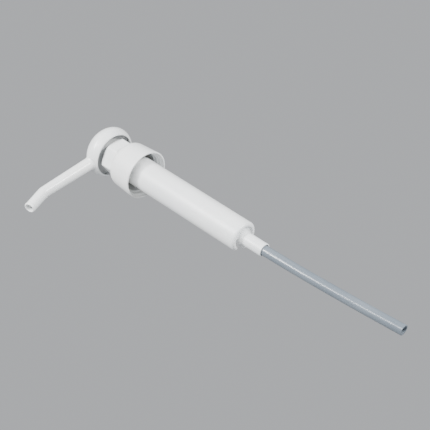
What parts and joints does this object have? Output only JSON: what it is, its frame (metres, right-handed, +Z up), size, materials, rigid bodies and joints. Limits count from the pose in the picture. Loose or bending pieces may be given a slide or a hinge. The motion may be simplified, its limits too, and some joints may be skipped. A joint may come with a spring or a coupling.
{
  "type": "condiment pump dispenser",
  "caption": "Plunger pump for a condiment jug: domed push head with a long side spout, hexagonal lock collar, screw closure, slim pump cylinder and a long dip tube.",
  "frame": {"origin": "on the pump's axis at the sealing face where the closure's gasket meets the jug's neck", "axes": "+Z up along the pump's axis towards the head, -Y the way the spout points, +X to the right seen from the front"},
  "size_m": [0.0462, 0.1186, 0.3318],
  "materials": {
    "white_plastic": "smooth moulded polypropylene, satin",
    "inner_plastic": "natural moulded polypropylene",
    "seal": "soft seal material, dull",
    "clear_tube": "extruded natural polyethylene, translucent",
    "steel": "stainless, bright"
  },
  "bodies": {
    "pump": {"pump_body": "white_plastic", "neck_gasket": "seal", "lock_collar": "white_plastic", "stem_bush": "inner_plastic", "stem_wiper": "seal", "inlet_cage": "inner_plastic", "spring_seat": "inner_plastic", "dip_tube": "clear_tube"},
    "closure": {"closure": "white_plastic"},
    "inlet_ball": {"inlet_ball": "steel"},
    "piston": {"piston_carrier": "inner_plastic", "piston_cup": "seal", "piston_retainer": "inner_plastic", "return_spring": "steel"},
    "head": {"actuator_head": "white_plastic", "head_seal": "seal", "head_plate": "white_plastic", "stem": "white_plastic", "piston_nut": "inner_plastic", "outlet_ball_stop": "inner_plastic"},
    "outlet_ball": {"outlet_ball": "steel"}
  },
  "joints": [
    {"name": "closure_turn", "type": "hinge", "parent": "pump", "child": "closure", "pos_m": [0, 0, 0], "axis": [0, 0, 1], "continuous": true},
    {"name": "plunger_slide", "type": "slide", "parent": "pump", "child": "piston", "axis": [0, 0, 1], "range_m": [0, 0.064], "deforming": ["return_spring"]},
    {"name": "head_swivel", "type": "hinge", "parent": "piston", "child": "head", "pos_m": [0, 0, 0], "axis": [0, 0, 1], "continuous": true},
    {"name": "inlet_ball_lift", "type": "slide", "parent": "pump", "child": "inlet_ball", "axis": [0, 0, 1], "range_m": [0, 0.004]},
    {"name": "outlet_ball_lift", "type": "slide", "parent": "head", "child": "outlet_ball", "axis": [0, 0, 1], "range_m": [0, 0.0035]}
  ]
}
